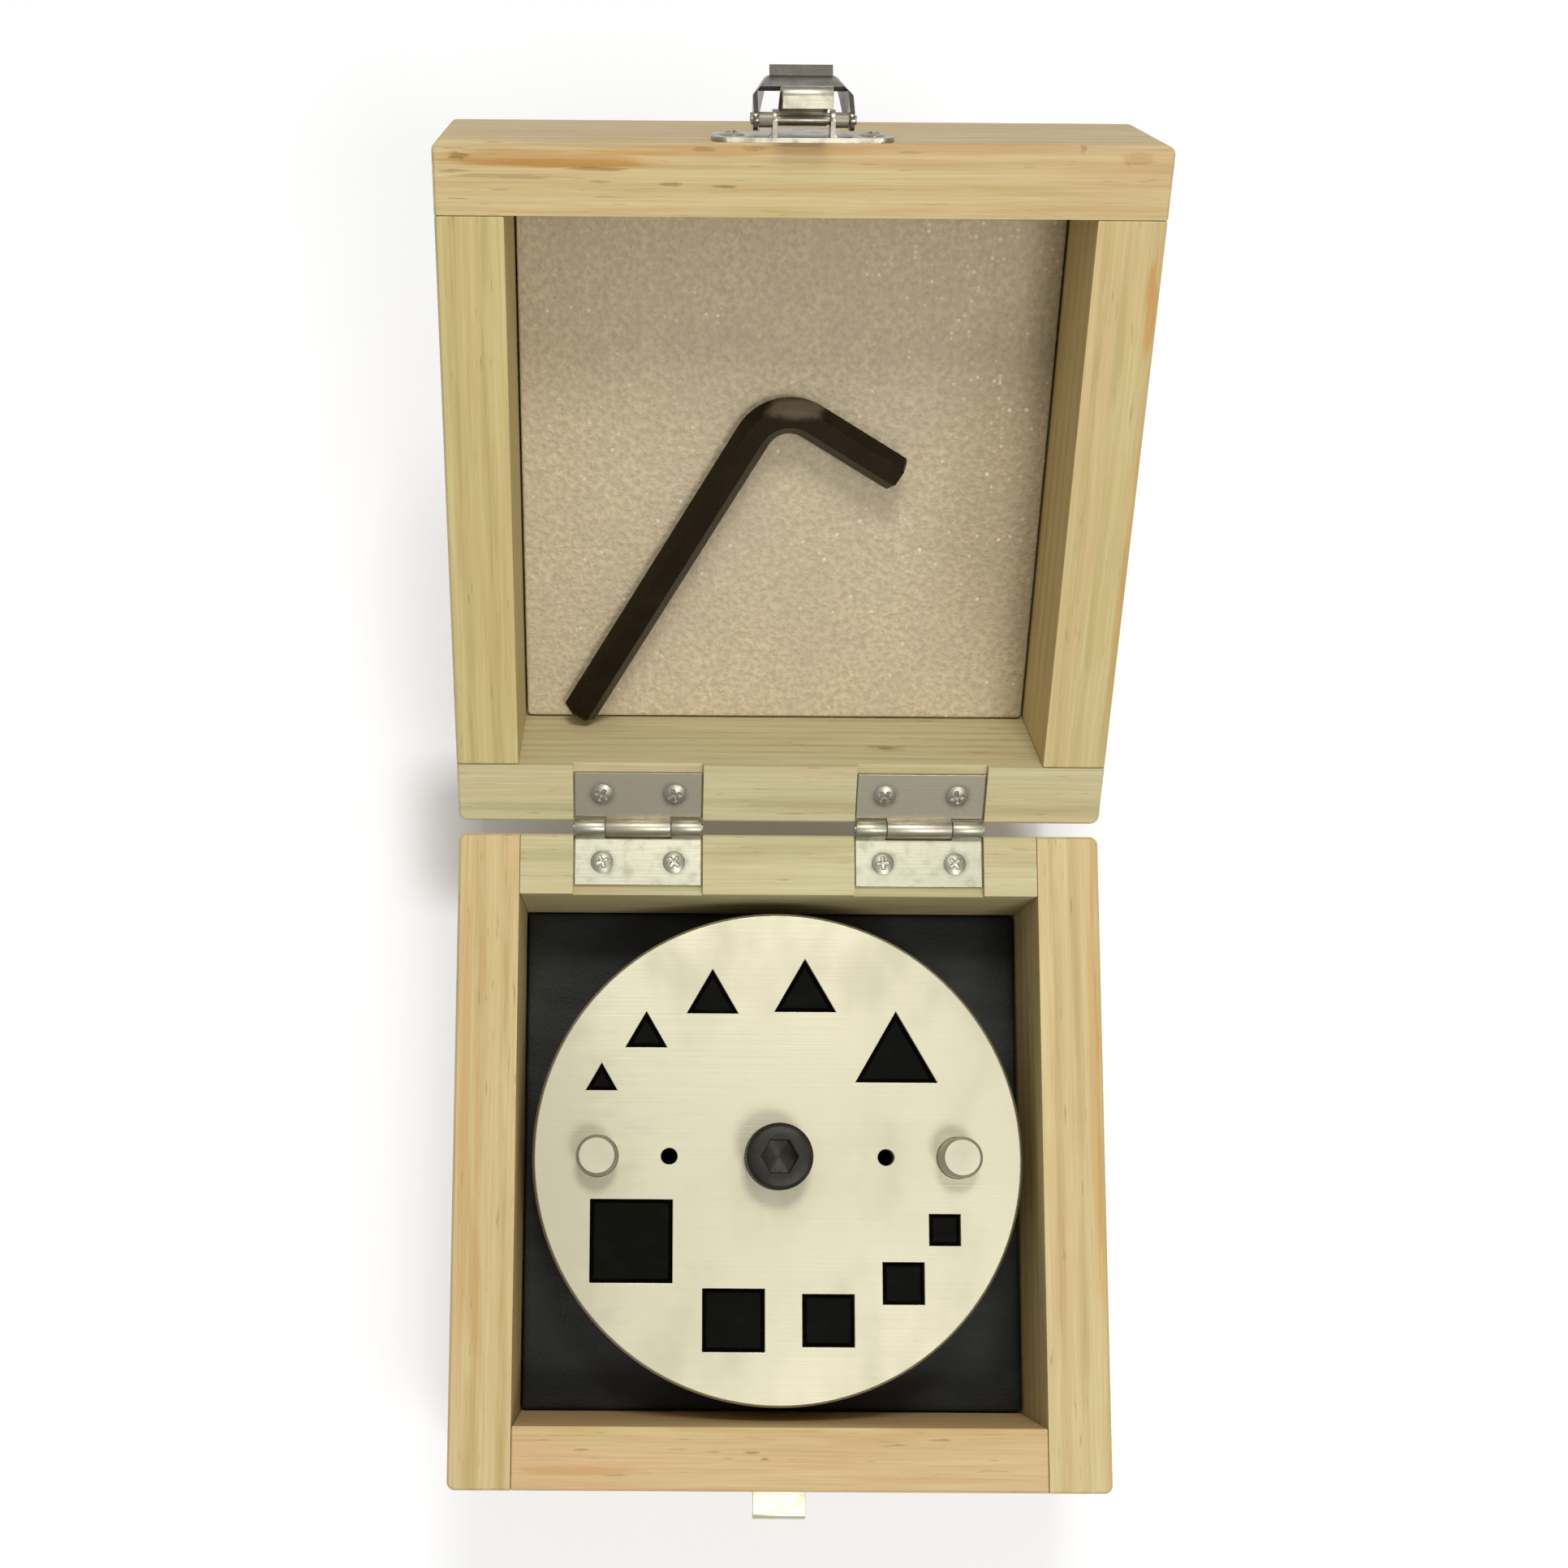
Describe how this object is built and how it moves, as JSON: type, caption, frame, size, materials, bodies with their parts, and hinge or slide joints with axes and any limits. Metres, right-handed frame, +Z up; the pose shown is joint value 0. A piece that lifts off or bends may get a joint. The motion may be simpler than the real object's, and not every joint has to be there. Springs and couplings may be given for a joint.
{
  "type": "jewelers disc cutter",
  "caption": "Round die set that punches square and triangular blanks, stored with its hex key in a hinged pine case with a toggle latch.",
  "frame": {"origin": "centre of the case's underside", "axes": "+X to the right seen from the latch side, +Y back towards the hinges, +Z up"},
  "size_m": [0.126, 0.2562, 0.1327],
  "materials": {
    "pine": "sanded, unvarnished",
    "plywood": "sanded",
    "black_foam": "cut closed-cell foam",
    "sparkle_foam": "cut polyethylene foam",
    "nickel_plate": "bright nickel plate on pressed steel",
    "ground_steel": "fine ground",
    "ground_pin": "ground",
    "black_oxide": "black oxide",
    "black_oxide_key": "black oxide, oiled",
    "black_punch": "black oxide, matt"
  },
  "bodies": {
    "base": {"base_side_rail_left": "pine", "base_side_rail_right": "pine", "base_front_rail": "pine", "base_back_rail": "pine", "base_floor_panel": "plywood", "base_foam_pad": "black_foam", "hinge_base_leaf_left": "nickel_plate", "hinge_base_leaf_right": "nickel_plate", "hinge_pin_left": "nickel_plate", "hinge_pin_right": "nickel_plate", "hinge_base_screws": "nickel_plate", "latch_strike": "nickel_plate", "strike_screws": "nickel_plate"},
    "lid": {"lid_front_rail": "pine", "lid_hinge_rail": "pine", "lid_side_rail_left": "pine", "lid_side_rail_right": "pine", "lid_panel": "plywood", "lid_foam_sheet": "sparkle_foam", "hinge_lid_leaf_left": "nickel_plate", "hinge_lid_leaf_right": "nickel_plate", "hinge_lid_screws": "nickel_plate", "latch_plate": "nickel_plate", "latch_screws": "nickel_plate", "latch_lever_pin": "nickel_plate"},
    "lever": {"latch_lever": "nickel_plate", "latch_hook_pin": "nickel_plate"},
    "hook": {"latch_hook": "nickel_plate"},
    "die_set": {"die_plate": "ground_steel", "guide_pin_left": "ground_pin", "guide_pin_right": "ground_pin"},
    "guide_plate": {"guide_plate": "ground_steel"},
    "clamp_screw": {"clamp_screw": "black_oxide"},
    "hex_key": {"hex_key": "black_oxide_key"},
    "punch_square_16": {"punch_square_16": "black_punch"},
    "punch_square_12": {"punch_square_12": "black_punch"},
    "punch_square_10": {"punch_square_10": "black_punch"},
    "punch_square_08": {"punch_square_08": "black_punch"},
    "punch_square_06": {"punch_square_06": "black_punch"},
    "punch_triangle_16": {"punch_triangle_16": "black_punch"},
    "punch_triangle_12": {"punch_triangle_12": "black_punch"},
    "punch_triangle_10": {"punch_triangle_10": "black_punch"},
    "punch_triangle_08": {"punch_triangle_08": "black_punch"},
    "punch_triangle_06": {"punch_triangle_06": "black_punch"}
  },
  "joints": [
    {"name": "lid_hinge", "type": "hinge", "parent": "base", "child": "lid", "pos_m": [0, 0.0642, 0.05015], "axis": [-1, 0, 0], "range_deg": [-145, 38]},
    {"name": "latch_lever_pivot", "type": "hinge", "parent": "lid", "child": "lever", "pos_m": [0, 0.1731, 0.12231], "axis": [1, 0, 0], "range_deg": [-16, 79]},
    {"name": "latch_hook_pivot", "type": "hinge", "parent": "lever", "child": "hook", "pos_m": [0, 0.17527, 0.11927], "axis": [-1, 0, 0], "range_deg": [-24, 51]},
    {"name": "cutter_lift", "type": "slide", "parent": "base", "child": "die_set", "axis": [0, 0, 1], "range_m": [0, 0.06]},
    {"name": "guide_plate_lift", "type": "slide", "parent": "die_set", "child": "guide_plate", "axis": [0, 0, 1], "range_m": [0, 0.0025]},
    {"name": "clamp_screw_turn", "type": "hinge", "parent": "guide_plate", "child": "clamp_screw", "pos_m": [0, 0, 0.045], "axis": [0, 0, 1], "range_deg": [0, 720.1]},
    {"name": "hex_key_lift", "type": "slide", "parent": "lid", "child": "hex_key", "axis": [0, -0.5736, 0.8192], "range_m": [0, 0.04]},
    {"name": "punch_square_16_lift", "type": "slide", "parent": "die_set", "child": "punch_square_16", "axis": [0, 0, 1], "range_m": [0, 0.022]},
    {"name": "punch_square_12_lift", "type": "slide", "parent": "die_set", "child": "punch_square_12", "axis": [0, 0, 1], "range_m": [0, 0.022]},
    {"name": "punch_square_10_lift", "type": "slide", "parent": "die_set", "child": "punch_square_10", "axis": [0, 0, 1], "range_m": [0, 0.022]},
    {"name": "punch_square_08_lift", "type": "slide", "parent": "die_set", "child": "punch_square_08", "axis": [0, 0, 1], "range_m": [0, 0.022]},
    {"name": "punch_square_06_lift", "type": "slide", "parent": "die_set", "child": "punch_square_06", "axis": [0, 0, 1], "range_m": [0, 0.022]},
    {"name": "punch_triangle_16_lift", "type": "slide", "parent": "die_set", "child": "punch_triangle_16", "axis": [0, 0, 1], "range_m": [0, 0.022]},
    {"name": "punch_triangle_12_lift", "type": "slide", "parent": "die_set", "child": "punch_triangle_12", "axis": [0, 0, 1], "range_m": [0, 0.022]},
    {"name": "punch_triangle_10_lift", "type": "slide", "parent": "die_set", "child": "punch_triangle_10", "axis": [0, 0, 1], "range_m": [0, 0.022]},
    {"name": "punch_triangle_08_lift", "type": "slide", "parent": "die_set", "child": "punch_triangle_08", "axis": [0, 0, 1], "range_m": [0, 0.022]},
    {"name": "punch_triangle_06_lift", "type": "slide", "parent": "die_set", "child": "punch_triangle_06", "axis": [0, 0, 1], "range_m": [0, 0.022]}
  ],
  "couplings": [
    {"joint": "clamp_screw_turn", "follows": "guide_plate_lift", "rad_per_m": 5026.5}
  ]
}
